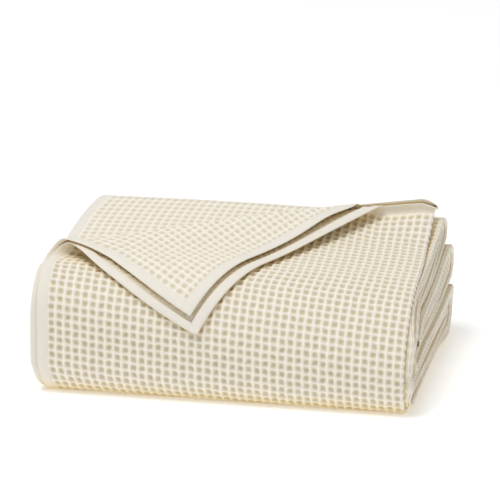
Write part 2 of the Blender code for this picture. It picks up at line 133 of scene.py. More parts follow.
def wrap_point(x, leg, share, inset):
    """A point on the face that runs under the bundle, up its front and over its top."""
    foot_cy, foot_cz, brow_cy, brow_cz, crest = corners(x, inset)
    front = FRONT_Y + inset
    turn = share * math.pi / 2
    if leg == "floor":
        return lerp(LOBES["bottom"]["base_y"], foot_cy, share), inset
    if leg == "foot":
        return (foot_cy - (foot_cy - front) * math.sin(turn),
                foot_cz - (foot_cz - inset) * math.cos(turn))
    if leg == "face":
        return front, lerp(foot_cz, brow_cz, share)
    if leg == "brow":
        return (brow_cy - (brow_cy - front) * math.cos(turn),
                brow_cz + (crest - inset - brow_cz) * math.sin(turn))
    y = lerp(brow_cy, LOBES["top"]["base_y"], share)
    return y, top_height(x, y, inset)


def strip_thickness(x):
    return (along(OUTLINE, x, "crest_z") - 2 * INNER - (LAYERS - 1) * GAP) / LAYERS


def turn_depths(x, turn):
    """Depths of the near and the far face of the strip in the outer or the inner turn."""
    thick = strip_thickness(x)
    if turn == "outer":
        return INNER + thick, INNER
    return INNER + thick + GAP, INNER + 2 * thick + GAP


def core_level(x, y, layer, upper):
    """Height of the upper or the lower face of a layer inside the inner turn."""
    low = turn_depths(x, "inner")[1] + GAP
    pitch = (ceiling(x, y, low) - low) / CORE_LAYERS
    level = low + pitch * (layer - FIRST_CORE)
    return level + pitch - GAP if upper else level


def turned(base_y, reach, low, high, share, forward=False):
    """A point on a half turn from one height to another, backward or forward."""
    angle = math.pi * (share - 0.5)
    away = -math.cos(angle) if forward else math.cos(angle)
    return base_y + reach * away, (low + high) / 2 + (high - low) / 2 * math.sin(angle)


def lobe_reach(name, x):
    return lerp(LOBES[name]["left"], LOBES[name]["right"], (x - LEFT_END) / LENGTH)


def wrapped_faces(leg, turn):
    def faces(x, share):
        near, far = turn_depths(x, turn)
        return wrap_point(x, leg, share, near), wrap_point(x, leg, share, far)
    return faces


JOINS_LOBE = 0.22        # share of the lowest layer over which its outer face comes down


def floor_faces(x, share):
    """The lowest layer, whose outer sheets come down where they join the bottom lobe."""
    near, far = turn_depths(x, "outer")
    far = far * float(smooth(share / JOINS_LOBE))
    return wrap_point(x, "floor", share, near), wrap_point(x, "floor", share, far)


def top_lobe(x, share):
    y = LOBES["top"]["base_y"]
    outer, inner = turn_depths(x, "outer"), turn_depths(x, "inner")
    inside = (top_height(x, y, inner[0]), top_height(x, y, outer[0]))
    outside = (top_height(x, y, inner[1]), top_height(x, y, INNER))
    return (turned(y, INNER_TURN, *inside, share),
            turned(y, lobe_reach("top", x), *outside, share))


def bottom_lobe(x, share):
    y = LOBES["bottom"]["base_y"]
    reach = lobe_reach("bottom", x)
    near = turn_depths(x, "outer")[0]
    return (turned(y, reach - strip_thickness(x), near, core_level(x, y, 3, False), share),
            turned(y, reach, 0.0, core_level(x, y, 3, True), share))


def middle_lobe(x, share):
    y = LOBES["middle"]["base_y"]
    inside = (core_level(x, y, 4, True), core_level(x, y, 5, False))
    outside = (core_level(x, y, 4, False), core_level(x, y, 5, True))
    return (turned(y, INNER_TURN, *inside, share),
            turned(y, lobe_reach("middle", x), *outside, share))


# how far the strip's front fold and its last end keep from its inner turn, at the bundle's
# left end and at its right
NOSE = (0.0140, 0.0130)
INNER_END = (0.006, 0.012)
NOSE_REACH = 0.012       # how far the front fold stands out
ENDS_AT = 0.2            # this far from the middle, the bundle's ends have their full shape


def towards_right(x):
    """0 at the bundle's left end and 1 at its right, with a soft change between them."""
    return smooth((x + ENDS_AT) / (2 * ENDS_AT))


def front_limit(x, left, right):
    clear = lerp(left, right, float(towards_right(x)))
    return FRONT_Y + turn_depths(x, "inner")[1] + GAP + clear


def nose(x, share):
    y = front_limit(x, *NOSE)
    outside = (core_level(x, y, 3, False), core_level(x, y, 4, True))
    inside = (core_level(x, y, 3, True), core_level(x, y, 4, False))
    return (turned(y, NOSE_REACH, *outside, share, True),
            turned(y, INNER_TURN, *inside, share, True))


def core_faces(layer, lobe, ends_at, near_is_upper):
    def faces(x, share):
        y = lerp(LOBES[lobe]["base_y"], front_limit(x, *ends_at), share)
        return ((y, core_level(x, y, layer, near_is_upper)),
                (y, core_level(x, y, layer, not near_is_upper)))
    return faces


# each leg of the strip's course: the layers it joins, the shares of the leg it runs between,
# its two faces, how many rows it has where it is hidden, and whether its outer face shows.
# The first begins a little before its face does, so that the strip's end shows at the back.
COURSE = (
    {"layers": (2, 2), "shares": (-0.022, 1), "faces": wrapped_faces("floor", "inner"), "rows": 8},
    {"layers": (2, 3), "shares": (0, 1), "faces": wrapped_faces("foot", "inner"), "rows": 8},
    {"layers": (3, 4), "shares": (0, 1), "faces": wrapped_faces("face", "inner"), "rows": 0},
    {"layers": (4, 6), "shares": (0, 1), "faces": wrapped_faces("brow", "inner"), "rows": 12},
    {"layers": (6, 6), "shares": (0, 1), "faces": wrapped_faces("top", "inner"), "rows": 8},
    {"layers": (6, 7), "shares": (0, 1), "faces": top_lobe, "rows": 14, "shows": True},
    {"layers": (7, 7), "shares": (1, 0), "faces": wrapped_faces("top", "outer"), "rows": 10,
     "shows": True},
    {"layers": (7, 4), "shares": (1, 0), "faces": wrapped_faces("brow", "outer"), "rows": 14},
    {"layers": (4, 3), "shares": (1, 0), "faces": wrapped_faces("face", "outer"), "rows": 0},
    {"layers": (3, 1), "shares": (1, 0), "faces": wrapped_faces("foot", "outer"), "rows": 8},
    {"layers": (1, 1), "shares": (1, 0), "faces": floor_faces, "rows": 14},
    {"layers": (1, 3), "shares": (0, 1), "faces": bottom_lobe, "rows": 18, "shows": True},
    {"layers": (3, 3), "shares": (0, 1), "faces": core_faces(3, "bottom", NOSE, False),
     "rows": 8},
    {"layers": (3, 4), "shares": (0, 1), "faces": nose, "rows": 12},
    {"layers": (4, 4), "shares": (1, 0), "faces": core_faces(4, "middle", NOSE, True),
     "rows": 8},
    {"layers": (4, 5), "shares": (0, 1), "faces": middle_lobe, "rows": 14, "shows": True},
    {"layers": (5, 5), "shares": (0, 1), "faces": core_faces(5, "middle", INNER_END, False),
     "rows": 8},
)
CELL_U = 0.00905         # one waffle cell across the cloth
CELL_V = 0.0094          # and along it
FINE = 5                 # rows and columns of faces to a cell where the waffle shows
HEM = 0.0125             # a plain hem
LEG_STEPS = 40           # places along each leg at which the course is worked out,
COURSE_X = 0.225         # from this far left of the middle to this far right,
COURSE_COLUMNS = 31      # in this many columns


def looked_up(table, x, t):
    """Values of a table at x and t, between its entries; both are evenly spaced."""
    xs, ts, values = table
    fx = np.clip((x - xs[0]) / (xs[1] - xs[0]), 0.0, len(xs) - 1.001)
    ft = np.clip((t - ts[0]) / (ts[1] - ts[0]), 0.0, len(ts) - 1.001)
    ix, it = fx.astype(int), ft.astype(int)
    fx, ft = (fx - ix)[:, None], (ft - it)[:, None]
    return ((values[ix, it] * (1 - ft) + values[ix, it + 1] * ft) * (1 - fx)
            + (values[ix + 1, it] * (1 - ft) + values[ix + 1, it + 1] * ft) * fx)


def follow_course():
    """The strip's near and far face at places along its course, and its length at the middle."""
    xs = np.linspace(-COURSE_X, COURSE_X, COURSE_COLUMNS)
    layers = []
    for leg in COURSE:
        layers += list(np.linspace(*leg["layers"], LEG_STEPS, endpoint=False))
    columns = []
    for x in xs:
        column = []
        for leg in COURSE:
            for share in np.linspace(*leg["shares"], LEG_STEPS, endpoint=False):
                near, far = leg["faces"](x, share)
                column.append((*near, *far))
        columns.append(column)
    values = np.array(columns)
    values = np.concatenate((values, np.broadcast_to(np.array(layers)[None, :, None],
                                                     values.shape[:2] + (1,))), axis=2)
    middle = values[len(xs) // 2]
    middle = (middle[:, 0:2] + middle[:, 2:4]) / 2
    length = np.concatenate(([0.0], np.cumsum(np.hypot(*np.diff(middle, axis=0).T))))
    return (xs, np.arange(len(layers), dtype=float), values), length


course, course_length = follow_course()


def strip_rows(shown):
    """Rows of a sheet of the strip: place on the course, length, and how much waffle it shows."""
    rows = []
    for number, leg in enumerate(COURSE):
        first = number * LEG_STEPS
        last = min(first + LEG_STEPS, len(course_length) - 1)
        if shown and leg.get("shows"):
            step = CELL_V / FINE
            low = math.ceil(course_length[first] / step)
            high = math.floor(course_length[last] / step)
            lengths = np.arange(low, high + 1) * step
            places = np.interp(lengths, course_length, np.arange(len(course_length)))
            rows += [(place, length, 1.0) for place, length in zip(places, lengths)]
        else:
            for place in np.linspace(first, last, leg["rows"], endpoint=False) + 0.5:
                rows.append((place, float(np.interp(place, np.arange(len(course_length)),
                                                    course_length)), 0.0))
    rows.append((len(course_length) - 1.0, float(course_length[-1]), 0.0))
    return np.array(rows)


RIDGE_U = 0.0020         # half width of a ridge along the cloth
RIDGE_V = 0.0020         # and of one across it
CROSS_RIDGE = 0.86       # the ridges across the cloth are this high beside the others
RELIEF = 0.0028          # depth of a waffle cell
REVERSE_RELIEF = 0.0022  # and on the reverse of the cloth
REVERSE_PIT_SHADE = 0.6      # how much of the painted shade in the pits shows there


def ridge(t, cell, width):
    """1 on the lines of a cell's grid and 0 between them."""
    away = np.abs(t / cell - np.round(t / cell)) * cell
    return np.exp(-((away / width) ** 2))


def waffle(u, v):
    """Depth of the pits, 0 on a ridge and 1 in the middle of a cell."""
    return (1.0 - ridge(u, CELL_U, RIDGE_U)) * (1.0 - CROSS_RIDGE * ridge(v, CELL_V, RIDGE_V))


# a large wave that shifts to and fro slowly, and a small one that runs slantwise
STRAY_U = {"large": 0.00030, "pace": 391, "shift": 2.1, "slowly": 57,
           "small": 0.00018, "slant": (171, 233)}
STRAY_V = {"large": 0.00030, "pace": 373, "shift": 1.9, "slowly": 61,
           "small": 0.00020, "slant": (157, -263)}


def stray(a, b, wave):
    """How far a line of the waffle strays at a along itself, where b counts the lines."""
    first, second = wave["slant"]
    return (wave["large"] * np.sin(a * wave["pace"] + wave["shift"] * np.sin(b * wave["slowly"]))
            + wave["small"] * np.sin(a * first + b * second))


def wander(u, v):
    """How far the waffle strays across and along the cloth, no two cells quite alike."""
    return stray(v, u, STRAY_U), stray(u, v, STRAY_V)


def cloth_grid(name, columns, rows, flat_u, flat_v, place):
    """A grid of cloth: place() puts its points, and its flat coordinates become its UV map."""
    bm = bmesh.new()
    uv = bm.loops.layers.uv.new("flat")
    bmesh.ops.create_grid(bm, x_segments=columns - 1, y_segments=rows - 1, size=1.0)
    flat = np.array([vertex.co[:2] for vertex in bm.verts])
    column = np.rint((flat[:, 0] + 1.0) / 2 * (columns - 1)).astype(int)
    row = np.rint((flat[:, 1] + 1.0) / 2 * (rows - 1)).astype(int)
    points, carved, plain = place(column, row)
    us, vs = flat_u(column, row), flat_v(column, row)
    for face in bm.faces:
        for loop in face.loops:
            loop[uv].uv = (us[loop.vert.index], vs[loop.vert.index])
    mesh = bpy.data.meshes.new(name)
    bm.to_mesh(mesh)
    bm.free()
    mesh.vertices.foreach_set("co", points.astype(np.float32).ravel())
    for label, values in (("carved", carved), ("plain", plain)):
        mesh.attributes.new(label, "FLOAT", "POINT").data.foreach_set("value", values)
    mesh.shade_smooth()
    mesh.update()
    piece = bpy.data.objects.new(name, mesh)
    bpy.context.scene.collection.objects.link(piece)
    return piece


PAIRS = 3                # folded pairs of sheets in the strip
CELLS = 43               # waffle cells from the left hem to the right end
COARSE = 10              # columns of faces over them where the waffle is hidden
# the rims at the left end of a pair's two sheets: (in from the end, share of the thickness)
OUTER_RIM = ((0.0008, 0.42), (0.0, 0.24), (0.0012, 0.06), (0.004, 0.0), (0.0085, 0.0),
             (0.0108, 0.0), (HEM, 0.02))
INNER_RIM = ((0.004, 1.0), (0.0012, 0.94), (0.0, 0.76), (0.0008, 0.58))
FOLD_ANGLES = (0.0, 0.35, 0.7, 1.05, 1.4, 1.75, 2.1, 2.45, 2.8, math.pi)


def strip_columns(shown):
    """Columns of a folded pair: first its outer sheet from the hem, round the fold, and back.

    Each has its kind, its place (in from the left end, counted in cells, or an angle in the
    fold), its share of the pair's thickness, and whether its waffle is carved.
    """
    columns = [("left", inward, share, False) for inward, share in OUTER_RIM]
    if shown:
        columns += [("cell", i / FINE, 0.0, True) for i in range(CELLS * FINE + 1)]
    else:
        columns += [("cell", CELLS * i / COARSE, 0.0, False) for i in range(COARSE + 1)]
    columns += [("fold", angle, (1 - math.cos(angle)) / 2, False) for angle in FOLD_ANGLES]
    columns += [("cell", CELLS * i / COARSE, 1.0, False) for i in range(COARSE, -1, -1)]
    columns += [("left", inward, share, False) for inward, share in INNER_RIM]
    return columns


PAIR_RADIUS = 0.0026     # how far a pair's fold stands out at the right
NOTCHED = 0.2            # share of that lost between two ridges
FOLD_IN = 0.0013         # the outermost pair's fold keeps inside its layer's end by this,
STEPPED_IN = 0.0009      # and each pair's fold by this more than the last
BESIDE_CELLS = 0.0005    # from the hem to the first cell, and from the last one to the fold
BACK_CORNER = 0.020      # the top layer's left edge is drawn in by this at the back,
BACK_Y = 0.13            # which is this far from the middle
PAIR_CLEAR = 0.0002      # air between a pair and its layer's faces
FLAT_FOLD = 0.43         # a pair's fold on the flat cloth,
FLAT_RIM = 0.87          # and the rim of its inner sheet
# how far the strip's edges wander in and out, how quickly, and how each pair differs
LEFT_WAVE = {"height": 0.0012, "pace": 23, "shift": 2.1}
RIGHT_WAVE = {"height": 0.0011, "pace": 17, "shift": 1.7}


def edge_wave(wave, length, number):
    return wave["height"] * np.sin(length * wave["pace"] + number * wave["shift"])


def strip_pair(name, number):
    """One of the three folded pairs of sheets, the first the outermost."""
    shown = number == 0
    rows = strip_rows(shown)
    columns = strip_columns(shown)
    kind = np.array([c[0] for c in columns])
    at = np.array([c[1] for c in columns])
    across = np.array([c[2] for c in columns])
    carries = np.array([c[3] for c in columns])

    def place(column, row):
        course_at, length, fine = rows[row].T
        midway = looked_up(course, np.zeros(len(row)), course_at)
        layer = midway[:, 4] - 1
        left = np.interp(layer, np.arange(LAYERS), LAYER_LEFT)
        right = np.interp(layer, np.arange(LAYERS), LAYER_RIGHT)
        left = left + edge_wave(LEFT_WAVE, length, number)
        backward = np.maximum(midway[:, 2] / BACK_Y, 0.0)
        left = left + BACK_CORNER * smooth(layer - (LAYERS - 2)) * backward ** 3
        right = right - FOLD_IN + edge_wave(RIGHT_WAVE, length, number)
        right = right - STEPPED_IN * number
        ridge_v = ridge(length, CELL_V, RIDGE_V) * fine
        fold_x = (right - PAIR_RADIUS
                  + PAIR_RADIUS * np.sin(at[column]) * (1 - NOTCHED + NOTCHED * ridge_v))
        cell_x = lerp(left + HEM + BESIDE_CELLS, right - PAIR_RADIUS - BESIDE_CELLS,
                      at[column] / CELLS)
        x = np.where(kind[column] == "left", left + at[column],
                     np.where(kind[column] == "fold", fold_x, cell_x))
        near_far = looked_up(course, x, course_at)
        far = near_far[:, 2:4]
        near = near_far[:, 0:2]
        thick = np.linalg.norm(near - far, axis=1)
        waffled = waffle(at[column] * CELL_U, length) * (kind[column] == "cell")
        pit = waffled * fine * carries[column]
        inset = (number + across[column]) / PAIRS
        inset = (PAIR_CLEAR / thick + inset * (1 - 2 * PAIR_CLEAR / thick)
                 + pit * REVERSE_RELIEF / thick)
        yz = far + (near - far) * inset[:, None]
        points = np.column_stack((x, yz))
        # carved also sets how much painted shade the material puts into the pits
        carved = fine * carries[column] * REVERSE_PIT_SHADE
        plain = (kind[column] == "left") * 1.0
        return points, carved, plain

    def flat_u(column, row):
        inner = across[column] > 0.5
        side = np.where(inner, 2 * FLAT_FOLD - at[column] * CELL_U, at[column] * CELL_U)
        rim = np.where(inner, FLAT_RIM, 0.0) + at[column]
        fold = FLAT_FOLD + PAIR_RADIUS * at[column]
        return np.where(kind[column] == "cell", side + HEM,
                        np.where(kind[column] == "fold", fold, rim))

    def flat_v(column, row):
        return rows[row][:, 1]

    pair = cloth_grid(name, len(columns), len(rows), flat_u, flat_v, place)
    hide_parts("blanket")
    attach(pair, "root")
    return pair


strip = [strip_pair("folded_sheets_%d" % (n + 1), n) for n in range(PAIRS)]

# ==== The outer sheet ========================================================================
# The sheet that covers the bundle's underside, its rounded front and the top in front of the
# slanting fold, where it turns back over itself.  It has a plain hem at its left and at its
# end, folded under and stitched, and a rolled fold at its right.

REFERENCE_Y = -0.026     # lengths along the bundle's face are counted from here on its top
FOLD_SLANT = math.radians(29.0)
FOLD_LEFT_X = -0.194     # the left end of the slanting fold,
FOLD_LEFT_S = -0.055     # and its place along the face
FOLD_LENGTH = 0.45       # from there to where the last row of ROLL holds
SWING = -0.189           # turned back, the cloth slides along the fold by this share of its reach
SWING2 = 1.49            # and by this share of its reach squared
# the roll of the fold at three places along the bundle: its radius, and how far it is lifted
ROLL = (
    {"x": -0.205, "radius": 0.0040, "lift": 0.0020},
    {"x": 0.000, "radius": 0.0060, "lift": 0.0030},
    {"x": 0.205, "radius": 0.0056, "lift": 0.0056},
)
LIFT_REACH = 0.030       # the lift dies away over this, in front of the fold and behind it
FALL_REACH = 0.034       # and the turned-back cloth falls from the roll over this
REST = 0.0024            # turned back, the cloth rests this high over the face
SHEETS_APART = 0.0012    # air between the two turned-back sheets
# where the turned-back corner stands off the bundle, and where its two sheets stand apart
HOLLOW = {"x": 0.110, "spread": 0.070, "height": 0.0085, "over": 0.06}
HUMP = {"x": 0.098, "spread": 0.045, "height": 0.0190, "over": 0.05}
# the fold stands open as a loop at its left end: how much larger and higher it is there
LOOP = {"reach": 0.045, "radius": 0.0032, "lift": 0.0012, "rise": 0.020, "fall": 0.012}
# the fold is pressed down at its right end, and bows towards the front at both ends
PRESSED = {"x": 0.180, "over": 0.028, "share": 0.72}
BOW = {"x": -0.02, "depth": 0.026, "left": -0.120, "right": 0.020, "over": 0.1}
FACE_X = 0.235           # the face is worked out from this far left to this far right,
FACE_COLUMNS = 48        # in this many columns,
FACE_LENGTHS = (-0.70, 0.24, 0.001)   # from and to these lengths, at these steps
FACE_LEGS = (("floor", 24), ("foot", 40), ("face", 10), ("brow", 70), ("top", 40))
UP_FRONT = 70            # the places from here on go up the front and back over the top
BEHIND = 0.1             # the face begins this far behind the bottom lobe,
BACK_EDGE = 0.20         # and ends this far behind the middle
EVENED = 3               # its direction is evened out over this many steps either way


def face_table():
    """The bundle's outer face: place and direction, by x and by length from the reference."""
    xs = np.linspace(-FACE_X, FACE_X, FACE_COLUMNS)
    lengths = np.arange(*FACE_LENGTHS)
    blur = np.ones(2 * EVENED + 1) / (2 * EVENED + 1)
    columns = []
    for x in xs:
        points = [(LOBES["bottom"]["base_y"] + BEHIND, 0.0)]
        for leg, steps in FACE_LEGS:
            points += [wrap_point(x, leg, i / steps, 0.0) for i in range(steps)]
        for y in np.linspace(LOBES["top"]["base_y"], BACK_EDGE, 5):
            points.append((y, top_height(x, y, 0.0)))
        path = np.array(points)
        length = np.concatenate(([0.0], np.cumsum(np.hypot(*np.diff(path, axis=0).T))))
        length = length - np.interp(REFERENCE_Y, path[UP_FRONT:, 0], length[UP_FRONT:])
        y, z = (np.interp(lengths, length, path[:, k]) for k in (0, 1))
        padded = (np.pad(c, EVENED, mode="reflect", reflect_type="odd") for c in (y, z))
        dy, dz = (np.convolve(np.gradient(c), blur, mode="same")[EVENED:-EVENED] for c in padded)
        size = np.maximum(np.hypot(dy, dz), 1e-9)
        columns.append(np.column_stack((y, z, -dz / size, dy / size)))
    return xs, lengths, np.array(columns)


outer_face = face_table()


def on_bundle(x, s, height):
    """The point s along the outer face at x, raised by height along the face's normal."""
    start = lerp(BOW["left"], BOW["right"], towards_right(x))
    bowed = smooth((s - start) / BOW["over"])
    s = s - BOW["depth"] * ((x - BOW["x"]) / ENDS_AT) ** 2 * bowed
    face = looked_up(outer_face, x, s)
    pressed = 1 - PRESSED["share"] * smooth((x - PRESSED["x"]) / PRESSED["over"])
    height = np.where(height > 0, height * pressed, height)
    return np.column_stack((x, face[:, 0] + face[:, 2] * height, face[:, 1] + face[:, 3] * height))


def cloth_place(u, v, depth, parted):
    """Flat cloth (u, v), the fold applied, at this depth below the panel's outer face."""
    sine, cosine = math.sin(FOLD_SLANT), math.cos(FOLD_SLANT)
    along_fold = (u - FOLD_LEFT_X) * cosine + (v - FOLD_LEFT_S) * sine
    across = -(u - FOLD_LEFT_X) * sine + (v - FOLD_LEFT_S) * cosine
    x = lerp(ROLL[0]["x"], ROLL[-1]["x"], along_fold / FOLD_LENGTH)
    loop = np.exp(-((np.maximum(along_fold, 0.0) / LOOP["reach"]) ** 2))
    radius = along(ROLL, x, "radius") + LOOP["radius"] * loop
    lift = along(ROLL, x, "lift") + LOOP["lift"] * loop
    angle = np.clip(across / radius, 0.0, math.pi)
    back = np.maximum(across - math.pi * radius, 0.0)
    if parted:
        hump = HUMP["height"] * np.exp(-(((u - HUMP["x"]) / HUMP["spread"]) ** 2))
        depth = depth + smooth(across / (math.pi * radius)) * (
            SHEETS_APART + hump * smooth(back / HUMP["over"]))
    under = HOLLOW["height"] * np.exp(-(((x - HOLLOW["x"]) / HOLLOW["spread"]) ** 2))
    rest = REST + under * smooth(back / HOLLOW["over"])
    rise = LIFT_REACH + LOOP["rise"] * loop
    before = lift * np.exp(-((np.minimum(across, 0.0) / rise) ** 2))
    fall = LOOP["fall"] * loop
    fallen = (lift * np.exp(-((back / (LIFT_REACH + fall)) ** 2)) + rest
              + (2 * radius - REST) * np.exp(-((back / (FALL_REACH + fall)) ** 2)))
    place = np.where(across <= 0, across, np.where(back > 0, -back, radius * np.sin(angle)))
    height = np.where(across <= 0, before,
                      np.where(back > 0, fallen, lift + radius * (1 - np.cos(angle))))
    normal_place = -np.sin(angle)
    normal_height = np.cos(angle)
    reached = np.where(across > 0, np.maximum(-place, 0.0), 0.0)
    along_fold = along_fold + (SWING + SWING2 * reached) * reached
    place = place - normal_place * depth
    height = height - normal_height * depth
    x = FOLD_LEFT_X + along_fold * cosine - place * sine
    s = FOLD_LEFT_S + along_fold * sine + place * cosine
    return on_bundle(x, s, height)


def fold_v(u):
    """Where the slanting fold crosses the cloth's column u."""
    return FOLD_LEFT_S + (u - FOLD_LEFT_X) * math.tan(FOLD_SLANT)


# a hem's section, from its turned-under edge round to the stitching: (in from the edge, depth)
HEM_PROFILE = ((0.0105, 0.0027), (0.0045, 0.0028), (0.0012, 0.0023), (0.0, 0.0014),
               (0.0008, 0.0005), (0.0030, 0.0002), (0.0068, 0.0002), (0.0098, 0.0003),
               (0.0110, 0.0008), (HEM, 0.0003))
FINE_PANEL = 6           # rows and columns of faces to a cell of the two outer sheets
EDGE_ROUND = 0.0031      # the right edge is a fold round the lining,
EDGE_WAFFLE = 0.45       # with the waffle drawn nearly flat on it,
EDGE_ANGLES = (0.30, 0.60, 0.85, 1.10, 1.35, 1.60, 1.85, 2.15, 2.45, 2.8, math.pi)
TUCKED = {"in": 0.0030, "up": 0.0008, "angle": 3.4, "plain": 0.3}   # and its end tucked in


def panel_columns(lining):
    """Columns from the left hem to the right edge.

    Each has its place from the left, its angle in the right edge's turn, its depth, how much
    waffle it shows, how plain it is, and the way its pits sink: inward and in depth.
    """
    columns = [(inward, 0.0, depth, 0.0, 1.0, 0.0, 1.0) for inward, depth in HEM_PROFILE]
    columns += [(HEM + i / FINE_PANEL * CELL_U, 0.0, 0.0, 1.0, 0.0, 0.0, 1.0)
                for i in range(1, CELLS * FINE_PANEL + 1)]
    end = HEM + CELLS * CELL_U
    if lining:
        return np.array(columns)
    for angle in EDGE_ANGLES:
        sine, cosine = math.sin(angle), math.cos(angle)
        columns.append((end + EDGE_ROUND * sine, angle, EDGE_ROUND * (1 - cosine),
                        EDGE_WAFFLE, 0.0, sine, cosine))
    columns.append((end - TUCKED["in"], TUCKED["angle"], 2 * EDGE_ROUND - TUCKED["up"],
                    0.0, TUCKED["plain"], 0.0, -1.0))
    return np.array(columns)


FINE_FROM = -0.262       # the waffle shows from here on, just under the front
HIDDEN_ROWS = 12         # rows under the bundle, where it rests on the floor,
HIDDEN_LENGTH = 0.22     # and the length of that part


def panel_rows(end):
    """Rows from under the bundle to the end hem: length, depth, waffle, plain, hidden share."""
    rows = [(0.0, 0.0, 0.0, 0.0, 1.0 - i / HIDDEN_ROWS) for i in range(HIDDEN_ROWS)]
    step = CELL_V / FINE_PANEL
    low = math.ceil(FINE_FROM / step)
    high = math.floor((end - HEM) / step)
    rows += [(i * step, 0.0, 1.0, 0.0, 0.0) for i in range(low, high + 1)]
    rows += [(end - inward, depth, 0.0, 1.0, 0.0) for inward, depth in reversed(HEM_PROFILE)]
    return np.array(rows)


# each edge's line at the left or the right, and where along the cloth it begins to change
FOOT_HEM = {"x": -0.199, "from": -0.255, "over": 0.055}
FOLD_HEM = {"from": -0.080, "over": 0.050, "power": 1.5}
RIGHT_EDGE = {"low": 0.207, "high": 0.197, "from": -0.17, "over": 0.34}


def left_hem(v):
    """Where the left hem of the outer sheet runs: in at the foot, and drawn in to the fold."""
    foot = lerp(FOOT_HEM["x"], LEFT_END, smooth((v - FOOT_HEM["from"]) / FOOT_HEM["over"]))
    drawn = smooth((v - FOLD_HEM["from"]) / FOLD_HEM["over"]) ** FOLD_HEM["power"]
    return foot + (FOLD_LEFT_X - LEFT_END) * drawn


def right_edge(v):
    """Where the right edge runs: leaning in a little from the front to the fold."""
    drawn = smooth((v - RIGHT_EDGE["from"]) / RIGHT_EDGE["over"]) ** 2
    return RIGHT_EDGE["low"] + (RIGHT_EDGE["high"] - RIGHT_EDGE["low"]) * drawn


def fork(x):
    """Where the two sheets leave the strip's bottom lobe, along the face, under the back."""
    xs, lengths, faces = outer_face
    starts = [lengths[np.argmax(column[:, 0] < LOBES["bottom"]["base_y"])] for column in faces]
    return np.interp(x, xs, starts)


FLAP_END = 0.145         # where the outer sheet ends, if it weren't turned back
BEND = 0.0123            # cloth that the bend of the fold takes up,
PAST_BEND = 0.003        # and the least that is left past it:
DRAWN_OUT_FROM = 0.02    # from here on the cloth is drawn out where it would be shorter
BY_THE_HEM = 0.05        # how far from the left hem the cells keep their own width
CELL_DEPTH = {"mean": 0.93, "more": 0.13, "across": 2.4, "along": 4.1}   # cell by cell
ON_ROLL = {"at": 0.012, "spread": 0.013, "lost": 0.45}   # the waffle is drawn flatter there


def panel_sheet(name, end, left_line, lining):
    """One of the two outer sheets.  The lining lies under the other, and over it once turned."""
    columns = panel_columns(lining)
    rows = panel_rows(end)
    last_cell = HEM + CELLS * CELL_U

    def flat_u(column, row):
        return columns[column, 0]

    def flat_v(column, row):
        hidden = rows[row, 4]
        return np.where(hidden > 0, FINE_FROM - hidden * HIDDEN_LENGTH, rows[row, 0])

    def place(column, row):
        base, angle, col_depth, col_waffle, col_plain, sink_u, sink_d = columns[column].T
        length, row_depth, row_waffle, row_plain, hidden = rows[row].T
        v = np.where(hidden > 0, FINE_FROM, length)
        left = left_line(v)
        right = right_edge(v) - EDGE_ROUND
        u = lerp(left, right, base / last_cell)
        near_left = np.exp(-((base / BY_THE_HEM) ** 2))
        u = lerp(u, left + base, near_left)
        u = np.where(angle > 0, right + base - last_cell, u)
        v = lerp(v, fork(np.clip(u, -ENDS_AT, ENDS_AT)), hidden)
        stretch = np.maximum(fold_v(u) + BEND + PAST_BEND - end, 0.0)
        v = v + stretch * smooth((v - DRAWN_OUT_FROM) / (end - DRAWN_OUT_FROM))
        stray_u, stray_v = wander(base, length)
        u = u + stray_u * row_waffle * (col_waffle > 0.9)
        v = v + stray_v * row_waffle * col_waffle
        pits = waffle(base - HEM, length)
        pits = np.where(angle > 0, 1.0 - CROSS_RIDGE * ridge(length, CELL_V, RIDGE_V), pits)
        pits = pits * col_waffle * row_waffle
        cell = (np.floor((base - HEM) / CELL_U) * CELL_DEPTH["across"]
                + np.floor(length / CELL_V) * CELL_DEPTH["along"])
        cell_depth = CELL_DEPTH["mean"] + CELL_DEPTH["more"] * np.sin(cell)
        relief = pits * (REVERSE_RELIEF if lining else RELIEF) * cell_depth
        past_fold = (v - fold_v(u)) * math.cos(FOLD_SLANT)
        on_roll = np.exp(-(((past_fold - ON_ROLL["at"]) / ON_ROLL["spread"]) ** 2))
        relief = relief * (1 - ON_ROLL["lost"] * on_roll)
        u = u - relief * sink_u
        depth = np.maximum(col_depth, row_depth) + relief * sink_d
        if lining:
            depth = PANEL - depth
        points = cloth_place(u, v, depth, lining)
        # carved also sets how much painted shade the material puts into the pits
        carved = (col_waffle > 0.9) * row_waffle * (REVERSE_PIT_SHADE if lining else 1.0)
        return points, carved, np.maximum(col_plain, row_plain)

    sheet = cloth_grid(name, len(columns), len(rows), flat_u, flat_v, place)
    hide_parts("blanket")
    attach(sheet, "root")
    return sheet


outer_sheet = panel_sheet("outer_sheet", FLAP_END, left_hem, False)

# ==== The lining sheet =======================================================================
# The second sheet of the two, under the first and a little wider at the left, so that its hem
# shows beside the other.  On the turned-back corner it lies on top and shows its waffle.

SHORTER = 0.014          # the lining ends this far inside the outer sheet's end
# its left hem stands out by a lip, narrower up the front, and is drawn in towards the corner
LIP = {"width": 0.008, "from": -0.17, "over": 0.11, "lost": 0.6}
DRAWN_IN = {"after": 0.018, "over": 0.065, "by": 0.0192}


def lining_hem(v):
    """Where the left hem of the lining runs."""
    lip = LIP["width"] * (1 - LIP["lost"] * smooth((v - LIP["from"]) / LIP["over"]))
    drawn = DRAWN_IN["by"] * smooth((v - FOLD_LEFT_S - DRAWN_IN["after"]) / DRAWN_IN["over"])
    return left_hem(v) - lip + drawn


lining_sheet = panel_sheet("lining_sheet", FLAP_END - SHORTER, lining_hem, True)

FLAT_MIDDLE = 0.216      # the flat cloth's column over the bundle's middle
KEPT_BEFORE = 0.110      # the lining is there from this far before the fold,
KEPT_LEFT = -0.190       # and all along its left hem, up to this column


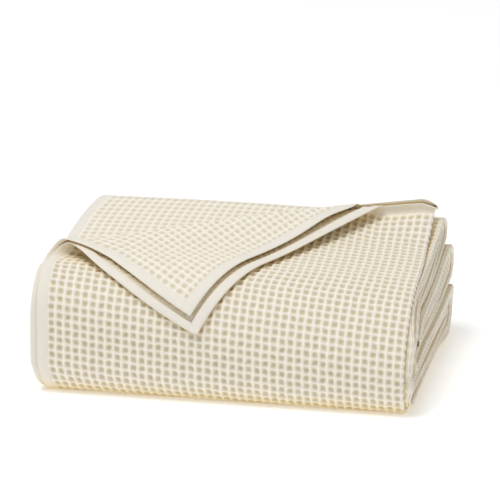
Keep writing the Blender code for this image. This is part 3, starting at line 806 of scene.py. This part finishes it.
def drop_hidden(sheet):
    """Cut away the lining between the outer sheet and the strip; return the flat area left."""
    bm = bmesh.new()
    bm.from_mesh(sheet.data)
    uv = bm.loops.layers.uv["flat"]
    hidden = []
    for face in bm.faces:
        u = face.loops[0][uv].uv.x - FLAT_MIDDLE
        v = face.loops[0][uv].uv.y
        if v < fold_v(u) - KEPT_BEFORE and u > KEPT_LEFT:
            hidden.append(face)
    bmesh.ops.delete(bm, geom=hidden, context="FACES")
    flat_area = 0.0
    for face in bm.faces:
        a, b, c, d = (loop[uv].uv for loop in face.loops)
        flat_area += abs((c - a).cross(d - b)) / 2
    bm.to_mesh(sheet.data)
    bm.free()
    return flat_area


lining_area = drop_hidden(lining_sheet)

# ==== The cotton =============================================================================
# Undyed cotton yarn: thick soft floats on the ridges of the waffle, a close plain weave in its
# pits and on the hems, a matt surface with a little fuzz, and no two cells quite alike.

THREAD = 0.00105         # from one yarn of the weave to the next
THREAD_HEIGHT = 0.00010
FUZZ_SCALE = 1100.0      # the fuzz on the yarns, finer than a yarn


def chained(nodes, links):
    """A short way to place a math node: chained(...)(operation, first, second, third)."""
    def place(operation, *values):
        node = nodes.new("ShaderNodeMath")
        node.operation = operation
        for socket, value in zip(node.inputs, values):
            if isinstance(value, (int, float)):
                socket.default_value = value
            else:
                links.new(value, socket)
        return node.outputs[0]
    return place


def waffle_group():
    """The waffle's cells from the flat cloth: 0 on a ridge and 1 in the middle of a pit."""
    group = bpy.data.node_groups.new("waffle cells", "ShaderNodeTree")
    group.interface.new_socket(name="Flat", in_out="INPUT", socket_type="NodeSocketVector")
    group.interface.new_socket(name="Pit", in_out="OUTPUT", socket_type="NodeSocketFloat")
    given = group.nodes.new("NodeGroupInput")
    result = group.nodes.new("NodeGroupOutput")
    apart = group.nodes.new("ShaderNodeSeparateXYZ")
    group.links.new(given.outputs["Flat"], apart.inputs[0])
    put = chained(group.nodes, group.links)
    across = put("SUBTRACT", apart.outputs["X"], HEM)
    sides = []
    for length, cell, width, height in ((across, CELL_U, RIDGE_U, 1.0),
                                        (apart.outputs["Y"], CELL_V, RIDGE_V, CROSS_RIDGE)):
        away = put("PINGPONG", put("DIVIDE", length, cell), 0.5)
        squared = put("POWER", put("MULTIPLY", away, cell / width), 2.0)
        line = put("EXPONENT", put("MULTIPLY", squared, -1.0))
        sides.append(put("SUBTRACT", 1.0, put("MULTIPLY", line, height)))
    group.links.new(put("MULTIPLY", *sides), result.inputs["Pit"])
    return group


def thread_group():
    """The single yarns, over and under one another, and the fuzz on them: a height."""
    group = bpy.data.node_groups.new("cotton threads", "ShaderNodeTree")
    group.interface.new_socket(name="Flat", in_out="INPUT", socket_type="NodeSocketVector")
    group.interface.new_socket(name="Height", in_out="OUTPUT", socket_type="NodeSocketFloat")
    given = group.nodes.new("NodeGroupInput")
    result = group.nodes.new("NodeGroupOutput")
    apart = group.nodes.new("ShaderNodeSeparateXYZ")
    group.links.new(given.outputs["Flat"], apart.inputs[0])
    put = chained(group.nodes, group.links)
    waves = [put("SINE", put("MULTIPLY", apart.outputs[axis], 2 * math.pi / THREAD))
             for axis in ("X", "Y")]
    fuzz = group.nodes.new("ShaderNodeTexNoise")
    fuzz.inputs["Scale"].default_value = FUZZ_SCALE
    fuzz.inputs["Detail"].default_value = 3.0
    group.links.new(given.outputs["Flat"], fuzz.inputs["Vector"])
    woven = put("MULTIPLY", *waves)
    group.links.new(put("MULTIPLY_ADD", woven, 0.5, fuzz.outputs["Fac"]), result.inputs["Height"])
    return group


RIDGE_COLOUR = (0.950, 0.900, 0.805, 1.0)
# the pits' colour is painted shade: the cream cotton darkened as the ridges would shade it
PIT_SHADE_COLOUR = (0.612, 0.548, 0.402, 1.0)
HEM_COLOUR = (0.845, 0.800, 0.715, 1.0)
# a golden shade painted into the colour inside the folds, where ambient occlusion finds cloth
# close by
FOLD_SHADE_COLOUR = (1.0, 0.83, 0.44, 1.0)
FOLD_SHADE_REACH = 0.022     # cloth closer than this paints a golden shade into the colour,
FOLD_SHADE_POWER = 1.3       # mostly where it closes nearly all of the view
CARVED_PIT_SHADE = 0.55       # share of the painted shade in the pits that only carved pits have
CLOUD_SCALE = 55.0       # slow changes of tone over a few cells
CLOUD_TONE = (0.955, 1.035)
SHALLOW = 0.3            # depth of the pits where they aren't carved, as a share


def cotton_material():
    """Matt cotton: cream ridges, pits darkened with painted shade, plain hems and a painted golden
    shade inside the folds.
    """
    material = bpy.data.materials.new("cream waffle cotton")
    material.use_nodes = True
    nodes, links = material.node_tree.nodes, material.node_tree.links
    shader = nodes["Principled BSDF"]
    shader.inputs["Roughness"].default_value = 0.93
    shader.inputs["Specular IOR Level"].default_value = 0.2
    shader.inputs["Sheen Weight"].default_value = 0.15
    shader.inputs["Sheen Roughness"].default_value = 0.6
    put = chained(nodes, links)
    flat = nodes.new("ShaderNodeUVMap")
    flat.uv_map = "flat"
    carved = nodes.new("ShaderNodeAttribute")
    carved.attribute_name = "carved"
    plain = nodes.new("ShaderNodeAttribute")
    plain.attribute_name = "plain"
    cells = nodes.new("ShaderNodeGroup")
    cells.node_tree = waffle_group()
    threads = nodes.new("ShaderNodeGroup")
    threads.node_tree = thread_group()
    cloudy = nodes.new("ShaderNodeTexNoise")
    cloudy.inputs["Scale"].default_value = CLOUD_SCALE
    cloudy.inputs["Detail"].default_value = 4.0
    for node in (cells, threads, cloudy):
        links.new(flat.outputs["UV"], node.inputs["Vector" if node is cloudy else "Flat"])

    # colour: cream ridges, pits darkened with painted shade, quiet hems, and a little unevenness
    # over the cloth
    waffled = nodes.new("ShaderNodeMix")
    waffled.data_type = "RGBA"
    waffled.inputs["A"].default_value = RIDGE_COLOUR
    waffled.inputs["B"].default_value = PIT_SHADE_COLOUR
    # the pits' painted shade: full where the mesh is carved, and part of it elsewhere
    shown = put("MULTIPLY_ADD", carved.outputs["Fac"], CARVED_PIT_SHADE, 1 - CARVED_PIT_SHADE)
    links.new(put("MULTIPLY", cells.outputs["Pit"], shown), waffled.inputs["Factor"])
    hemmed = nodes.new("ShaderNodeMix")
    hemmed.data_type = "RGBA"
    hemmed.inputs["B"].default_value = HEM_COLOUR
    links.new(plain.outputs["Fac"], hemmed.inputs["Factor"])
    links.new(waffled.outputs["Result"], hemmed.inputs["A"])
    tone = nodes.new("ShaderNodeMapRange")
    tone.inputs["To Min"].default_value, tone.inputs["To Max"].default_value = CLOUD_TONE
    links.new(cloudy.outputs["Fac"], tone.inputs["Value"])
    uneven = nodes.new("ShaderNodeVectorMath")
    uneven.operation = "SCALE"
    links.new(hemmed.outputs["Result"], uneven.inputs[0])
    links.new(tone.outputs["Result"], uneven.inputs["Scale"])
    # painted shade: inside the folds, where other cloth is close by, the colour is multiplied
    # towards gold, standing in for light that has come off the cotton many times
    open_sky = nodes.new("ShaderNodeAmbientOcclusion")
    open_sky.inputs["Distance"].default_value = FOLD_SHADE_REACH
    open_sky.samples = 8
    painted_fold_shade = nodes.new("ShaderNodeMix")
    painted_fold_shade.data_type = "RGBA"
    painted_fold_shade.blend_type = "MULTIPLY"
    painted_fold_shade.inputs["B"].default_value = FOLD_SHADE_COLOUR
    closed_in = put("SUBTRACT", 1.0, open_sky.outputs["AO"])
    links.new(put("POWER", closed_in, FOLD_SHADE_POWER), painted_fold_shade.inputs["Factor"])
    links.new(uneven.outputs["Vector"], painted_fold_shade.inputs["A"])
    links.new(painted_fold_shade.outputs["Result"], shader.inputs["Base Color"])

    # relief: the yarns everywhere, and the cells where the mesh is too coarse to hold them
    shallow = put("MULTIPLY", put("SUBTRACT", 1.0, carved.outputs["Fac"]),
                  put("SUBTRACT", 1.0, plain.outputs["Fac"]))
    sunk = put("MULTIPLY", put("MULTIPLY", cells.outputs["Pit"], shallow), -SHALLOW * RELIEF)
    height = put("MULTIPLY_ADD", threads.outputs["Height"], THREAD_HEIGHT, sunk)
    bump = nodes.new("ShaderNodeBump")
    bump.inputs["Strength"].default_value = 1.0
    bump.inputs["Distance"].default_value = 1.0
    links.new(height, bump.inputs["Height"])
    links.new(bump.outputs["Normal"], shader.inputs["Normal"])
    return material


cotton = cotton_material()
for piece in (*strip, outer_sheet, lining_sheet):
    piece.data.materials.append(cotton)

# ==== Floor, light and camera ================================================================
# A plain near-white surface and soft light from all round, stronger from the upper left, as in
# a product photograph, with the camera far off at the photograph's angle.

FLOOR_HALF = 6.0
LOOKED_AT = Vector((0.0, 0.0, 0.07))     # the middle of the bundle, about

bm = bmesh.new()
bmesh.ops.create_grid(bm, x_segments=1, y_segments=1, size=FLOOR_HALF)
floor_mesh = bpy.data.meshes.new("floor")
bm.to_mesh(floor_mesh)
bm.free()
floor = bpy.data.objects.new("floor", floor_mesh)
bpy.context.scene.collection.objects.link(floor)
pale = bpy.data.materials.new("pale floor")
pale.use_nodes = True
for socket, value in (("Base Color", (0.95, 0.95, 0.95, 1.0)), ("Roughness", 0.8),
                      ("Emission Color", (1.0, 1.0, 1.0, 1.0)), ("Emission Strength", 0.27)):
    pale.node_tree.nodes["Principled BSDF"].inputs[socket].default_value = value
floor.data.materials.append(pale)

world = bpy.data.worlds.new("studio")
world.use_nodes = True
world.node_tree.nodes["Background"].inputs["Color"].default_value = (1.0, 1.0, 1.0, 1.0)
world.node_tree.nodes["Background"].inputs["Strength"].default_value = 0.48
bpy.context.scene.world = world
bpy.context.scene.view_settings.view_transform = "Standard"


def soft_light(name, place, size, power):
    """A square soft light, turned to the bundle."""
    lamp = bpy.data.lights.new(name, "AREA")
    lamp.shape = "SQUARE"
    lamp.size = size
    lamp.energy = power
    light = bpy.data.objects.new(name, lamp)
    light.location = place
    aim = LOOKED_AT - Vector(place)
    light.rotation_euler = aim.to_track_quat("-Z", "Y").to_euler()
    bpy.context.scene.collection.objects.link(light)


soft_light("key", (-0.50, -0.50, 2.6), 1.4, 39.0)
soft_light("fill", (2.2, -1.2, 1.0), 1.6, 3.0)

AZIMUTH, ELEVATION, DISTANCE = math.radians(11.0), math.radians(20.5), 9.0
AIM_RIGHT, AIM_UP = 0.0056, 0.0584       # the picture's middle, from the place looked at
PIXELS = 500                             # the picture's width,
PIXELS_PER_METRE = 890.0                 # and its scale at the bundle
SENSOR = 36.0                            # millimetres
towards = Vector((math.sin(AZIMUTH) * math.cos(ELEVATION),
                  -math.cos(AZIMUTH) * math.cos(ELEVATION), math.sin(ELEVATION)))
rightward = Vector((math.cos(AZIMUTH), math.sin(AZIMUTH), 0.0))
upward = towards.cross(rightward)
aim_point = LOOKED_AT + rightward * AIM_RIGHT + upward * AIM_UP
lens = bpy.data.cameras.new("camera")
lens.sensor_width = SENSOR
lens.lens = PIXELS_PER_METRE * DISTANCE / PIXELS * SENSOR
lens.clip_end = 100.0
camera = bpy.data.objects.new("camera", lens)
camera.matrix_world = Matrix.Translation(aim_point + towards * DISTANCE) @ Matrix(
    (rightward, upward, towards)).transposed().to_4x4()
bpy.context.scene.collection.objects.link(camera)
bpy.context.scene.camera = camera
